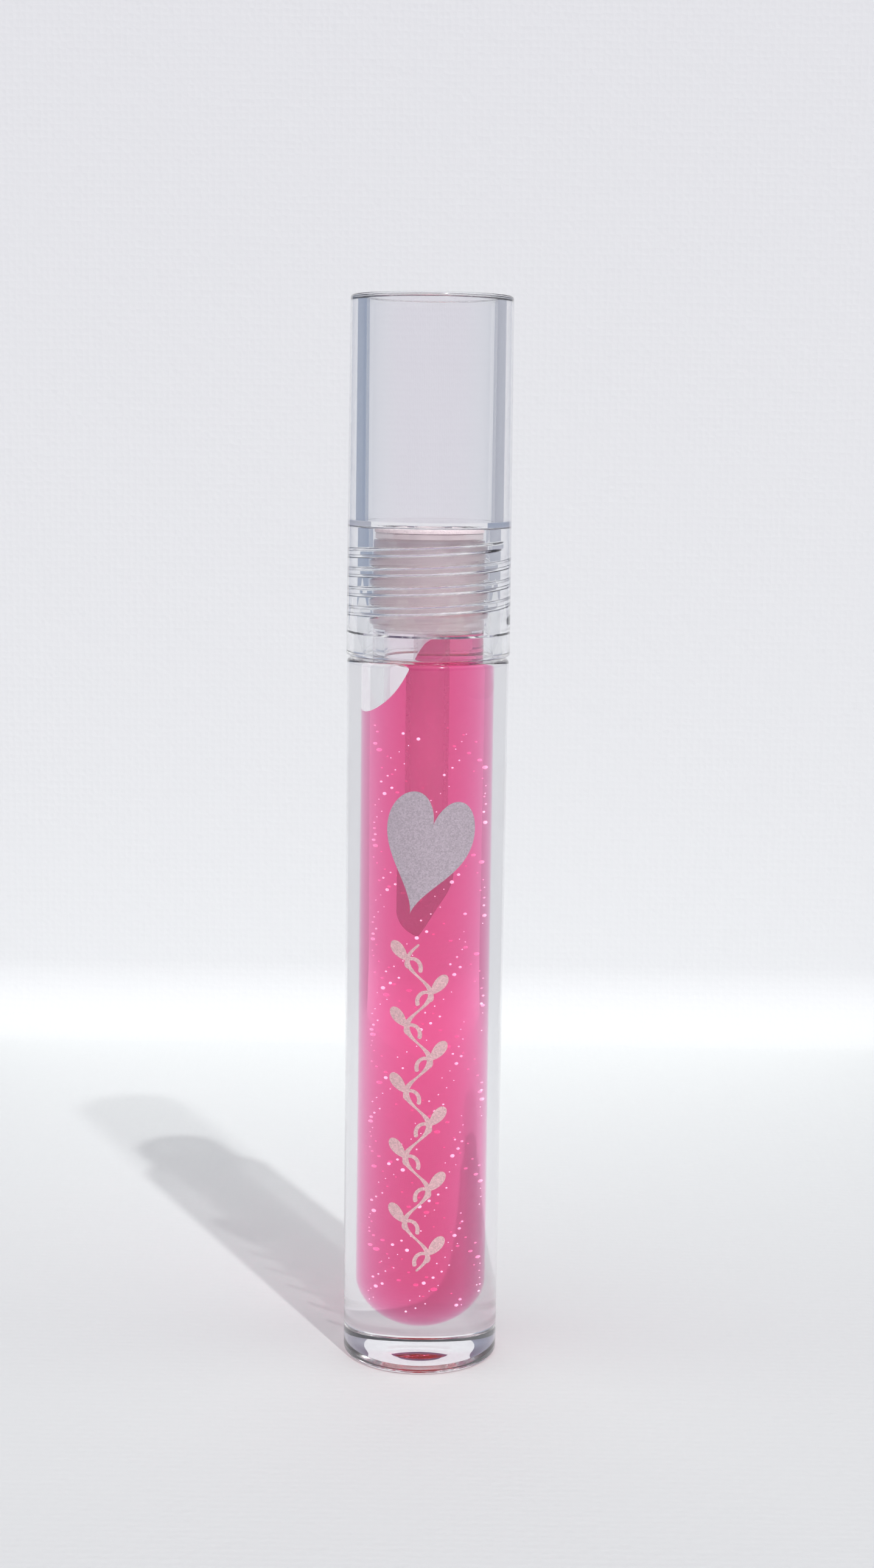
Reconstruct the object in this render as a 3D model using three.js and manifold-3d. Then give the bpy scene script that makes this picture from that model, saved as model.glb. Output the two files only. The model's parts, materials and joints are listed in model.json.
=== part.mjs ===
// Lip gloss tube: a thick-walled clear bottle with a screw cap that carries the wand.
// Millimetres, +Z up, origin at the centre of the base, printed side towards -Y.
import * as THREE from 'three';
import { mergeVertices } from 'three/addons/utils/BufferGeometryUtils.js';
import Module from 'manifold-3d';

const wasm = await Module();
wasm.setup();

// Driving dimensions.
const TUBE_HEIGHT = 118.4;      // base to cap top
const CAP_RADIUS = 9.0;         // at the cap's open end
const CAP_HEIGHT = 38.8;        // open end to top
const CAVITY_RADIUS = 4.9;      // bottle bore at the neck rim
const THREAD_PITCH = 2.1;       // rise of the cap in one turn
const WAND_REACH = 69.9;        // cap top to the applicator's end

// Shared clearances and thicknesses.
const PRESS_GAP = 0.06;         // radial gap between pieces pressed together
const FREE_GAP = 0.15;          // gap between pieces that slide or turn
const SEAT_GAP = 0.1;           // gap between faces that rest on each other
const SEGMENTS = 36;            // facets round every turned piece

// Heights of the joint between cap and bottle.
const CAP_BOTTOM = TUBE_HEIGHT - CAP_HEIGHT;
const SHOULDER = CAP_BOTTOM - 0.3;
const INNER_CAP_BOTTOM = CAP_BOTTOM + 2.4;
const INNER_CAP_TOP = CAP_BOTTOM + 14.7;
const CEILING = INNER_CAP_TOP - 0.6;
const WASHER_THICKNESS = 0.5;
const FLANGE_THICKNESS = 0.6;
const NECK_RIM = CEILING - WASHER_THICKNESS - FLANGE_THICKNESS - 3 * SEAT_GAP;

// Bottle.
const SHOULDER_RADIUS = CAP_RADIUS - 0.1;
const BASE_RADIUS = CAP_RADIUS - 0.3;
const BASE_THICKNESS = 3.75;
const BASE_EDGE = 0.5;
const RECESS_RADIUS = 0.7 * BASE_RADIUS;
const RECESS_DEPTH = 0.35;
const DIMPLE_RADIUS = 0.3 * BASE_RADIUS;
const DIMPLE_DEPTH = 0.8;
const SHOULDER_EDGE = 0.3;
const CAVITY_DRAFT = 0.15;
const NECK_RADIUS = CAVITY_RADIUS + 1.2;

// Thread, on the neck and in the inner cap.
const THREAD_DEPTH = 0.4;
const RIB_ROOT_WIDTH = 0.8 * THREAD_PITCH;
const RIB_CREST_WIDTH = 0.2 * THREAD_PITCH;
const RIB_BURIAL = 0.3;
const THREAD_BOTTOM = INNER_CAP_BOTTOM + 0.15 * THREAD_PITCH;
const THREAD_ROOM = NECK_RIM - 0.6 * THREAD_PITCH - THREAD_BOTTOM;
const THREAD_TURNS = Math.floor((2 * THREAD_ROOM) / THREAD_PITCH) / 2;

// Cap.
const SHELL_BORE = 0.8 * CAP_RADIUS;
const SHELL_DRAFT = 0.2;
const SHELL_TOP_THICKNESS = 0.6;
const SHELL_EDGE = 0.45;
const LEDGE = 0.12;
const INNER_CAP_BORE = NECK_RADIUS + THREAD_DEPTH + FREE_GAP;
const SOCKET_RADIUS = 2.9;
const SOCKET_DEPTH = 5.6;
const PLUG_DEPTH = 1.5;

// Wiper.
const WIPER_RADIUS = CAVITY_RADIUS - PRESS_GAP - 0.1;
const WIPER_BORE = WIPER_RADIUS - 0.8;
const WIPER_BOTTOM = INNER_CAP_BOTTOM + 0.3;
const ORIFICE_RADIUS = 2.5;
const LIP_THICKNESS = 0.5;

// Wand.
const STEM_RADIUS = 1.6;
const TIP_RADIUS = 2.1;
const TIP_LENGTH = 11.5;
const TIP_END = TUBE_HEIGHT - WAND_REACH;
const STEM_BOTTOM = TIP_END + TIP_LENGTH;
const FLOCK_THICKNESS = 0.5;
const CORE_RADIUS = TIP_RADIUS - FLOCK_THICKNESS - PRESS_GAP;
const SPIGOT_RADIUS = 1.0;
const SPIGOT_LENGTH = 5;
const SLANT = THREE.MathUtils.degToRad(24);

// Gloss.
const GLOSS_GAP = 0.06;
const WAND_CLEARANCE = 0.5;

// Prints.
const PRINT_GAP = 0.04;
const PRINT_THICKNESS = 0.08;
const HEART_HEIGHT = 14;
const HEART_WIDTH = 10.4;
const HEART_MIDDLE = 0.735 * SHOULDER;
const HEART_TILT = THREE.MathUtils.degToRad(-14);
const VINE_BOTTOM = 12.1;
const VINE_TOP = 0.618 * SHOULDER;
const VINE_OFFSET = -0.5;
const VINE_SWING = 1.2;
const VINE_WAVES = 4;
const VINE_STROKE = 0.5;
const LEAF_LENGTH = 2.7;
const LEAF_WIDTH = 1.3;

// A closed mesh as a boolean solid: shared vertices merged and flat slivers on the axis dropped.
function toSolid(geometry) {
  const bare = geometry.clone();
  bare.deleteAttribute('normal');
  bare.deleteAttribute('uv');
  const merged = mergeVertices(bare, 1e-4);
  const faces = [];
  for (let i = 0; i < merged.index.count; i += 3) {
    const [a, b, c] = [0, 1, 2].map((k) => merged.index.getX(i + k));
    if (a !== b && b !== c && c !== a) faces.push(a, b, c);
  }
  return new wasm.Manifold(new wasm.Mesh({
    numProp: 3,
    vertProperties: Float32Array.from(merged.attributes.position.array),
    triVerts: Uint32Array.from(faces),
  }));
}

// A boolean solid back as three.js geometry.
function toGeometry(solid) {
  const mesh = solid.getMesh();
  const geometry = new THREE.BufferGeometry();
  geometry.setAttribute('position', new THREE.BufferAttribute(mesh.vertProperties, mesh.numProp));
  geometry.setIndex(new THREE.BufferAttribute(mesh.triVerts, 1));
  geometry.computeVertexNormals();
  return geometry;
}

// A turned solid about Z. The outline is [radius, height] points, up the outside and down the inside.
function turned(outline) {
  const points = outline.map(([radius, height]) => new THREE.Vector2(radius, height));
  return toSolid(new THREE.LatheGeometry(points, SEGMENTS).rotateX(Math.PI / 2));
}

// Points of a quarter round between two angles, for use in an outline.
function arc(centreRadius, centreHeight, radius, fromDegrees, toDegrees, steps) {
  const points = [];
  for (let i = 0; i <= steps; i += 1) {
    const angle = THREE.MathUtils.degToRad(fromDegrees + ((toDegrees - fromDegrees) * i) / steps);
    points.push([centreRadius + radius * Math.cos(angle), centreHeight + radius * Math.sin(angle)]);
  }
  return points;
}

// One right-hand helical rib: a trapezoid extruded straight, then wound round Z as it falls.
// The rib grows out of buriedRadius, inside its parent wall, and fades back into it at both ends.
function threadRib(buriedRadius, rootRadius, crestRadius, bottom) {
  const section = new THREE.Shape([
    new THREE.Vector2(buriedRadius, -RIB_ROOT_WIDTH / 2),
    new THREE.Vector2(rootRadius, -RIB_ROOT_WIDTH / 2),
    new THREE.Vector2(crestRadius, -RIB_CREST_WIDTH / 2),
    new THREE.Vector2(crestRadius, RIB_CREST_WIDTH / 2),
    new THREE.Vector2(rootRadius, RIB_ROOT_WIDTH / 2),
    new THREE.Vector2(buriedRadius, RIB_ROOT_WIDTH / 2),
  ]);
  const sweep = THREAD_TURNS * 2 * Math.PI;
  const steps = THREAD_TURNS * SEGMENTS;
  const rib = new THREE.ExtrudeGeometry(section, { depth: sweep, steps, bevelEnabled: false });
  const position = rib.attributes.position;
  const fadeAngle = Math.PI / 3;
  for (let i = 0; i < position.count; i += 1) {
    const wound = position.getZ(i);
    const toEnd = Math.min(wound, sweep - wound);
    const growth = Math.max(0.05, Math.min(1, toEnd / fadeAngle));
    const radius = buriedRadius + (position.getX(i) - buriedRadius) * growth;
    const angle = sweep - wound;
    const height = bottom + position.getY(i) + (THREAD_PITCH * angle) / (2 * Math.PI);
    position.setXYZ(i, radius * Math.cos(angle), radius * Math.sin(angle), height);
  }
  return toSolid(rib);
}

// Radius of the bottle's outer wall at a height: it narrows slightly towards the base.
function wallRadius(height) {
  return BASE_RADIUS + ((SHOULDER_RADIUS - BASE_RADIUS) * height) / SHOULDER;
}

// Radius of the bottle's bore at a height: the same draft, from the neck rim down.
function boreRadius(height) {
  return CAVITY_RADIUS - (CAVITY_DRAFT * (NECK_RIM - height)) / NECK_RIM;
}

// The bottle: outer wall, stepped shoulder, threaded neck and a bore with a hemispherical end.
// Under the base a shallow recess has a domed dimple in its middle.
function bottle() {
  const endRadius = boreRadius(BASE_THICKNESS + CAVITY_RADIUS);
  const domeRadius = (DIMPLE_RADIUS ** 2 + DIMPLE_DEPTH ** 2) / (2 * DIMPLE_DEPTH);
  const domeCentre = RECESS_DEPTH + DIMPLE_DEPTH - domeRadius;
  const domeEdge = 90 - THREE.MathUtils.radToDeg(Math.asin(DIMPLE_RADIUS / domeRadius));
  const body = turned([
    [0, RECESS_DEPTH + DIMPLE_DEPTH],
    ...arc(0, domeCentre, domeRadius, 90, domeEdge, 4).slice(1),
    [RECESS_RADIUS - RECESS_DEPTH, RECESS_DEPTH],
    [RECESS_RADIUS, 0],
    ...arc(BASE_RADIUS - BASE_EDGE, BASE_EDGE, BASE_EDGE, -90, 0, 3),
    [wallRadius(SHOULDER - SHOULDER_EDGE), SHOULDER - SHOULDER_EDGE],
    [SHOULDER_RADIUS - SHOULDER_EDGE, SHOULDER],
    [NECK_RADIUS, SHOULDER],
    [NECK_RADIUS, NECK_RIM - 0.3],
    [NECK_RADIUS - 0.3, NECK_RIM],
    [CAVITY_RADIUS, NECK_RIM],
    ...arc(0, BASE_THICKNESS + endRadius, endRadius, 0, -90, 7).slice(0, -1),
    [0, BASE_THICKNESS],
  ]);
  const crest = NECK_RADIUS + THREAD_DEPTH;
  const rib = threadRib(NECK_RADIUS - RIB_BURIAL, NECK_RADIUS, crest, THREAD_BOTTOM);
  return body.add(rib);
}

// The gloss: it fills the bore up to a free surface that climbs to the right, round the wand's path.
function glossFill() {
  const endRadius = boreRadius(BASE_THICKNESS + CAVITY_RADIUS) - GLOSS_GAP;
  const endCentre = BASE_THICKNESS + GLOSS_GAP + endRadius;
  const top = WIPER_BOTTOM - 2 * SEAT_GAP;
  const bulk = turned([
    [0, BASE_THICKNESS + GLOSS_GAP],
    ...arc(0, endCentre, endRadius, -90, 0, 7).slice(1),
    [boreRadius(top) - GLOSS_GAP, top],
    [0, top],
  ]);
  const above = new THREE.Shape();
  above.moveTo(-CAP_RADIUS, SHOULDER - 13);
  above.lineTo(-CAVITY_RADIUS, SHOULDER - 6);
  above.quadraticCurveTo(-0.6, SHOULDER + 3.4, CAVITY_RADIUS, SHOULDER + 3.6);
  above.lineTo(CAP_RADIUS, SHOULDER + 3.6);
  above.lineTo(CAP_RADIUS, top + 5);
  above.lineTo(-CAP_RADIUS, top + 5);
  const air = new THREE.ExtrudeGeometry(above, { depth: 2 * CAP_RADIUS, curveSegments: 8, bevelEnabled: false });
  air.rotateX(Math.PI / 2).translate(0, CAP_RADIUS, 0);
  const pathRadius = TIP_RADIUS + WAND_CLEARANCE;
  const path = turned([
    [0, TIP_END - WAND_CLEARANCE],
    [0.6 * pathRadius, TIP_END - WAND_CLEARANCE],
    [pathRadius, TIP_END + 0.4 * pathRadius],
    [pathRadius, top + 1],
    [0, top + 1],
  ]);
  return bulk.subtract(toSolid(air)).subtract(path);
}

// The wiper: a soft straight sleeve with a flange on the neck rim. Its floor rises as a funnel
// from the orifice.
function wiperPlug() {
  const flangeBottom = NECK_RIM + SEAT_GAP;
  const flangeTop = flangeBottom + FLANGE_THICKNESS;
  const end = WIPER_BOTTOM;
  return turned([
    [ORIFICE_RADIUS, end],
    [WIPER_RADIUS - 0.3, end],
    [WIPER_RADIUS, end + 0.3],
    [WIPER_RADIUS, flangeBottom],
    [NECK_RADIUS - 0.2, flangeBottom],
    [NECK_RADIUS - 0.2, flangeTop],
    [WIPER_BORE + 0.15, flangeTop],
    [WIPER_BORE, flangeTop - 0.15],
    [WIPER_BORE, end + 2.4],
    [ORIFICE_RADIUS, end + LIP_THICKNESS],
    [ORIFICE_RADIUS, end],
  ]);
}

// The seal washer: it lies on the wiper's flange, loose round the inner cap's plug.
function sealWasher() {
  const bottom = NECK_RIM + FLANGE_THICKNESS + 2 * SEAT_GAP;
  const inner = WIPER_BORE + FREE_GAP;
  const outer = NECK_RADIUS - 0.1;
  return turned([
    [inner, bottom],
    [outer, bottom],
    [outer, bottom + WASHER_THICKNESS],
    [inner, bottom + WASHER_THICKNESS],
    [inner, bottom],
  ]);
}

// The cap shell: a clear sleeve with a thin closed top; a small ledge stops the inner cap.
function capShell() {
  const topRadius = CAP_RADIUS - SHELL_DRAFT;
  const hollowTop = TUBE_HEIGHT - SHELL_TOP_THICKNESS;
  const ledge = INNER_CAP_TOP + SEAT_GAP;
  const bore = SHELL_BORE - LEDGE;
  return turned([
    [SHELL_BORE, CAP_BOTTOM],
    [CAP_RADIUS - 0.2, CAP_BOTTOM],
    [CAP_RADIUS, CAP_BOTTOM + 0.2],
    ...arc(topRadius - SHELL_EDGE, TUBE_HEIGHT - SHELL_EDGE, SHELL_EDGE, 0, 90, 3),
    [0, TUBE_HEIGHT],
    [0, hollowTop],
    [bore - 0.3, hollowTop],
    [bore, hollowTop - 0.3],
    [bore, ledge],
    [SHELL_BORE, ledge],
    [SHELL_BORE, CAP_BOTTOM],
  ]);
}

// The inner cap: threaded skirt, ceiling, sealing plug and the socket that holds the stem.
function innerCap() {
  const outer = SHELL_BORE - PRESS_GAP;
  const plugRadius = WIPER_BORE - FREE_GAP;
  const socketTop = INNER_CAP_TOP - 0.5;
  const body = turned([
    [INNER_CAP_BORE + 0.2, INNER_CAP_BOTTOM],
    [outer, INNER_CAP_BOTTOM],
    [outer, INNER_CAP_TOP - 0.2],
    [outer - 0.2, INNER_CAP_TOP],
    [0, INNER_CAP_TOP],
    [0, socketTop],
    [STEM_RADIUS + PRESS_GAP, socketTop],
    [STEM_RADIUS + PRESS_GAP, CEILING - SOCKET_DEPTH],
    [SOCKET_RADIUS, CEILING - SOCKET_DEPTH],
    [SOCKET_RADIUS, CEILING - PLUG_DEPTH - WASHER_THICKNESS - 0.6],
    [plugRadius, CEILING - PLUG_DEPTH - WASHER_THICKNESS],
    [plugRadius, CEILING],
    [INNER_CAP_BORE, CEILING],
    [INNER_CAP_BORE, INNER_CAP_BOTTOM + 0.2],
    [INNER_CAP_BORE + 0.2, INNER_CAP_BOTTOM],
  ]);
  const crest = INNER_CAP_BORE - THREAD_DEPTH;
  const bottom = THREAD_BOTTOM + THREAD_PITCH / 2;
  const rib = threadRib(INNER_CAP_BORE + RIB_BURIAL, INNER_CAP_BORE, crest, bottom);
  return body.add(rib);
}

// The stem: a rod pressed into the inner cap, with a blind hole in its end for the applicator.
function wandStem() {
  const top = INNER_CAP_TOP - 0.5 - SEAT_GAP;
  const hole = SPIGOT_RADIUS + PRESS_GAP;
  const holeTop = STEM_BOTTOM + SPIGOT_LENGTH + SEAT_GAP;
  return turned([
    [hole, STEM_BOTTOM],
    [STEM_RADIUS - 0.15, STEM_BOTTOM],
    [STEM_RADIUS, STEM_BOTTOM + 0.15],
    [STEM_RADIUS, top - 0.2],
    [STEM_RADIUS - 0.2, top],
    [0, top],
    [0, holeTop],
    [hole, holeTop],
    [hole, STEM_BOTTOM],
  ]);
}

// A bullet shape that ends in a round nose at the given height, for the applicator's two pieces.
function bullet(radius, end, top) {
  const nose = 1.4 * radius;
  const outline = [[0, end]];
  for (let i = 1; i <= 6; i += 1) {
    const angle = (Math.PI / 2) * (i / 6);
    outline.push([radius * Math.sin(angle), end + nose * (1 - Math.cos(angle))]);
  }
  outline.push([radius, top], [0, top]);
  return turned(outline);
}

// The half-space below the applicator's slanting face, moved inwards by the given depth.
function slantCut(depth) {
  const size = 4 * TIP_LENGTH;
  const cut = new THREE.BoxGeometry(size, size, size).translate(size / 2, 0, 0);
  cut.rotateY(SLANT).translate(TIP_RADIUS * 0.35 - depth, 0, TIP_END + 0.25 * TIP_LENGTH);
  return toSolid(cut);
}

// The applicator's core: a slanted moulded paddle with a spigot that fits the stem.
function applicatorCore() {
  const top = STEM_BOTTOM - SEAT_GAP;
  const paddle = bullet(CORE_RADIUS, TIP_END + FLOCK_THICKNESS + PRESS_GAP, top);
  const spigot = turned([
    [0, top - 1],
    [SPIGOT_RADIUS, top - 1],
    [SPIGOT_RADIUS, STEM_BOTTOM + SPIGOT_LENGTH],
    [0, STEM_BOTTOM + SPIGOT_LENGTH],
  ]);
  return paddle.subtract(slantCut(FLOCK_THICKNESS + PRESS_GAP)).add(spigot);
}

// The flock: a coat of short fibres all round the paddle, open at the top.
function applicatorFlock() {
  const top = STEM_BOTTOM - 1;
  const outside = bullet(TIP_RADIUS, TIP_END, top).subtract(slantCut(0));
  const inside = bullet(CORE_RADIUS + PRESS_GAP, TIP_END + FLOCK_THICKNESS, top + 1);
  return outside.subtract(inside.subtract(slantCut(FLOCK_THICKNESS)));
}

// A thin print on the bottle's front, cut out of a skin that follows the tapered wall.
function printed(shapes, bottom, top) {
  const inner = (height) => wallRadius(height) + PRINT_GAP;
  const skin = turned([
    [inner(bottom), bottom],
    [inner(bottom) + PRINT_THICKNESS, bottom],
    [inner(top) + PRINT_THICKNESS, top],
    [inner(top), top],
    [inner(bottom), bottom],
  ]);
  const stamps = shapes.map((shape) => {
    const stamp = new THREE.ExtrudeGeometry(shape, { depth: 2 * CAP_RADIUS, bevelEnabled: false });
    return toSolid(stamp.rotateX(Math.PI / 2));
  });
  return skin.intersect(stamps.reduce((whole, stamp) => whole.add(stamp)));
}

// A tilted heart.
function heartPrint() {
  const w = HEART_WIDTH / 2;
  const h = HEART_HEIGHT / 2;
  const heart = new THREE.Shape();
  heart.moveTo(0, -h);
  heart.bezierCurveTo(0.55 * w, -0.55 * h, w, -0.1 * h, w, 0.45 * h);
  heart.bezierCurveTo(w, 1.15 * h, 0.15 * w, 1.25 * h, 0, 0.55 * h);
  heart.bezierCurveTo(-0.15 * w, 1.25 * h, -w, 1.15 * h, -w, 0.45 * h);
  heart.bezierCurveTo(-w, -0.1 * h, -0.55 * w, -0.55 * h, 0, -h);
  const middle = new THREE.Vector2(0, HEART_MIDDLE);
  const outline = heart.getPoints(8).slice(1);
  outline.forEach((point) => point.rotateAround(new THREE.Vector2(), HEART_TILT).add(middle));
  return printed([new THREE.Shape(outline)], HEART_MIDDLE - HEART_HEIGHT, HEART_MIDDLE + HEART_HEIGHT);
}

// A waving vine that climbs the bottle, with one leaf on the outside of every bend.
function vinePrint() {
  const length = VINE_TOP - VINE_BOTTOM;
  const bends = 2 * VINE_WAVES;
  const sway = (t) => VINE_OFFSET + VINE_SWING * Math.sin(Math.PI * bends * t);
  const steps = bends * 5;
  const left = [];
  const right = [];
  for (let i = 0; i <= steps; i += 1) {
    const t = i / steps;
    const half = (VINE_STROKE / 2) * (0.45 + 0.55 * Math.sin(Math.PI * t));
    left.push(new THREE.Vector2(sway(t) - half, VINE_BOTTOM + length * t));
    right.unshift(new THREE.Vector2(sway(t) + half, VINE_BOTTOM + length * t));
  }
  const shapes = [new THREE.Shape(left.concat(right))];
  for (let bend = 0; bend < bends; bend += 1) {
    const t = (bend + 0.5) / bends;
    const side = bend % 2 === 0 ? 1 : -1;
    const leaf = new THREE.Shape();
    leaf.moveTo(0, 0);
    leaf.quadraticCurveTo(LEAF_LENGTH / 2, LEAF_WIDTH, LEAF_LENGTH, 0);
    leaf.quadraticCurveTo(LEAF_LENGTH / 2, -LEAF_WIDTH, 0, 0);
    const root = new THREE.Vector2(sway(t) - side * 0.1, VINE_BOTTOM + length * t);
    const turn = side > 0 ? 0.85 : Math.PI - 0.85;
    const outline = leaf.getPoints(5).slice(1);
    outline.forEach((point) => point.rotateAround(new THREE.Vector2(), turn).add(root));
    shapes.push(new THREE.Shape(outline));
  }
  return printed(shapes, VINE_BOTTOM - 3, VINE_TOP + 3);
}

function piece(name, solid, color, roughness, metalness = 0, opacity = 1) {
  const transparent = opacity < 1;
  const material = new THREE.MeshStandardMaterial({ color, roughness, metalness, opacity, transparent });
  const mesh = new THREE.Mesh(toGeometry(solid), material);
  mesh.name = name;
  return mesh;
}

const filledBottle = new THREE.Group();
filledBottle.add(
  piece('bottle', bottle(), 0xe9e6ee, 0.05, 0, 0.35),
  piece('gloss_fill', glossFill(), 0xd2458f, 0.15),
  piece('wiper_plug', wiperPlug(), 0xd9cfc9, 0.5),
  piece('heart_print', heartPrint(), 0xbeb2bc, 0.35, 0.6),
  piece('vine_print', vinePrint(), 0xe8bebe, 0.35, 0.4),
);

const capAndWand = new THREE.Group();
capAndWand.add(
  piece('cap_shell', capShell(), 0xe4e5ea, 0.05, 0, 0.35),
  piece('inner_cap', innerCap(), 0xdfe0e6, 0.08, 0, 0.35),
  piece('seal_washer', sealWasher(), 0xf0efec, 0.8),
  piece('wand_stem', wandStem(), 0xe6dfe0, 0.3),
  piece('applicator_core', applicatorCore(), 0xe6e0dc, 0.4),
  piece('applicator_flock', applicatorFlock(), 0xb93a78, 0.9),
);

const tube = new THREE.Group();
tube.add(filledBottle, capAndWand);

export default tube;
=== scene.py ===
import json
import math

import bpy
import numpy as np
from mathutils import Matrix, Vector


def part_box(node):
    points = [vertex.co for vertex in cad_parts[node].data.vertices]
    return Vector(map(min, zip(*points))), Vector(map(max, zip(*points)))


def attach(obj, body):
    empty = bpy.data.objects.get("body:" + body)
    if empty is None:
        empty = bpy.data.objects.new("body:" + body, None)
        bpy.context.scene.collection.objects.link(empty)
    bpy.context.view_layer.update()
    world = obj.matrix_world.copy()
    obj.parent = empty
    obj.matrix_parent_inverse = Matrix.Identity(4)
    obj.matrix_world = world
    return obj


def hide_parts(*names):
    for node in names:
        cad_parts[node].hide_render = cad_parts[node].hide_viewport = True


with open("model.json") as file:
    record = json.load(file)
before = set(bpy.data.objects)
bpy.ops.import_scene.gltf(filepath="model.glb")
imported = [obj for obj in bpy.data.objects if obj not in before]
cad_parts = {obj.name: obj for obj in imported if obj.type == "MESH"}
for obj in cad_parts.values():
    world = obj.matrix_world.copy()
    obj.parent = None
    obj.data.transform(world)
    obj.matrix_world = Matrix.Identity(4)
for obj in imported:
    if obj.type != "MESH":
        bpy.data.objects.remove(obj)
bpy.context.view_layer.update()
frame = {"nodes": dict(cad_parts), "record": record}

# ---------------------------------------------------------------- bottle
# A thick-walled round vial, moulded in one shot of clear plastic over a polished core, so its bore
# ends in a half sphere. It has a shallow recess with a domed dimple under its base, and a right-hand
# thread on its neck.

mm = 0.001
bottle_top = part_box("bottle")[1][2]
shoulder_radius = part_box("bottle")[1][0]
cap_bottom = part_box("cap_shell")[0][2]
inner_cap_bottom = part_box("inner_cap")[0][2]
wiper_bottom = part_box("wiper_plug")[0][2]

base_radius = shoulder_radius - 0.2 * mm
shoulder = cap_bottom - 0.3 * mm
bore_radius = 4.9 * mm
bore_draft = 0.15 * mm
base_thickness = 3.75 * mm
neck_radius = bore_radius + 1.2 * mm

pitch = 2 * math.pi / frame["record"]["behaviour"]["couplings"][0]["ratio"]
thread_depth = 0.4 * mm
thread_bottom = inner_cap_bottom + 0.15 * pitch
thread_turns = 4.0
rib_foot = 0.27         # from the middle of a rib to the wall, in pitches
rib_flank = 0.18        # width of a rib's slope, in pitches

contact = 0.01 * mm     # between two pieces that wet or weld to each other
around = 192            # columns round a turned piece
thread_rows = 300       # rows up a threaded wall


def outline(*corners):
    """A turned piece's outline, as arrays of radius and height. Each corner is (radius, height,
    fillet): its sides are cut back by fillet / tan(half the corner's angle) and joined by an arc of
    that fillet about the point on the bisector. A row just past each end of the arc keeps the
    straight stretches flat."""
    points = np.array([corner[:2] for corner in corners], float)
    path = [points[0]]
    for before, here, after, corner in zip(points, points[1:], points[2:], corners[1:]):
        fillet = corner[2] if len(corner) > 2 else 0.0
        to_before = (before - here) / np.linalg.norm(before - here)
        to_after = (after - here) / np.linalg.norm(after - here)
        half = math.acos(np.clip(to_before @ to_after, -1, 1)) / 2
        if not fillet:
            path.append(here)
            continue
        cut = fillet / math.tan(half)
        bisector = (to_before + to_after) / np.linalg.norm(to_before + to_after)
        centre = here + bisector * fillet / math.sin(half)
        start = here + to_before * cut - centre
        end = here + to_after * cut - centre
        turn = math.atan2(start[0] * end[1] - start[1] * end[0], start @ end)
        angles = np.linspace(0, turn, 7)
        arc = np.outer(np.cos(angles), start) + np.outer(np.sin(angles), [-start[1], start[0]])
        path.append(here + to_before * cut * 1.3)
        path.extend(centre + arc)
        path.append(here + to_after * cut * 1.3)
    path.append(points[-1])
    path = np.array(path)
    return path[:, 0], path[:, 1]


def turned(radius, height, columns=around):
    """Points of a surface of revolution: row i, column j lies at angle a = 2 pi j / columns, at
    (radius cos a, radius sin a, height). radius and height are one number a row, or one a point."""
    angle = 2 * np.pi * np.arange(columns) / columns
    grid = (len(radius), columns)
    radius = np.broadcast_to(np.asarray(radius, float).reshape(len(radius), -1), grid)
    height = np.broadcast_to(np.asarray(height, float).reshape(len(height), -1), grid)
    return np.stack([radius * np.cos(angle), radius * np.sin(angle), height], axis=-1)


def faces_of(points, ring=False):
    """Vertices and faces of a grid of points whose columns join up into loops. A first or last row
    whose points all coincide is one pole with triangles round it; ring joins last row to first."""
    rows, columns = points.shape[:2]
    ids = np.arange(rows * columns).reshape(rows, columns)
    for i in (0, rows - 1):
        if np.ptp(points[i], axis=0).max() < 1e-9:
            ids[i] = ids[i, 0]
    if ring:
        ids = np.vstack([ids, ids[:1]])
    low, high = ids[:-1], ids[1:]
    quads = np.stack([low, np.roll(low, -1, 1), np.roll(high, -1, 1), high], axis=-1).reshape(-1, 4)
    used, packed = np.unique(quads, return_inverse=True)
    quads = packed.reshape(quads.shape)
    vertices = points.reshape(-1, 3)[used]
    faces = [tuple(dict.fromkeys(face)) for face in quads.tolist()]
    return vertices, faces


def piece(name, parts, body, replaces=(), materials=(), slots=None, sharp=35):
    """Makes one object of grids given as (vertices, faces) pairs, merges the points they share, and
    lets it ride. slots holds a material's number for each face, and edges are sharp past an angle
    of sharp degrees."""
    vertices = np.concatenate([part[0] for part in parts])
    offsets = np.cumsum([0] + [len(part[0]) for part in parts])
    places = np.round(vertices, 9)
    _, first, shared = np.unique(places, axis=0, return_index=True, return_inverse=True)
    vertices, shared = vertices[first], shared.ravel()
    faces = [
        tuple(shared[i + offset] for i in face)
        for part, offset in zip(parts, offsets)
        for face in part[1]
    ]
    mesh = bpy.data.meshes.new(name)
    mesh.from_pydata(vertices.tolist(), [], faces)
    mesh.polygons.foreach_set("use_smooth", np.ones(len(faces), bool))
    for material in materials:
        mesh.materials.append(material)
    if slots is not None:
        mesh.polygons.foreach_set("material_index", np.asarray(slots, int).ravel())
    mesh.update()
    mesh.set_sharp_from_angle(angle=math.radians(sharp))
    made = bpy.data.objects.new(name, mesh)
    bpy.context.scene.collection.objects.link(made)
    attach(made, body)
    if replaces:
        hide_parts(*replaces)
    return made


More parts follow.
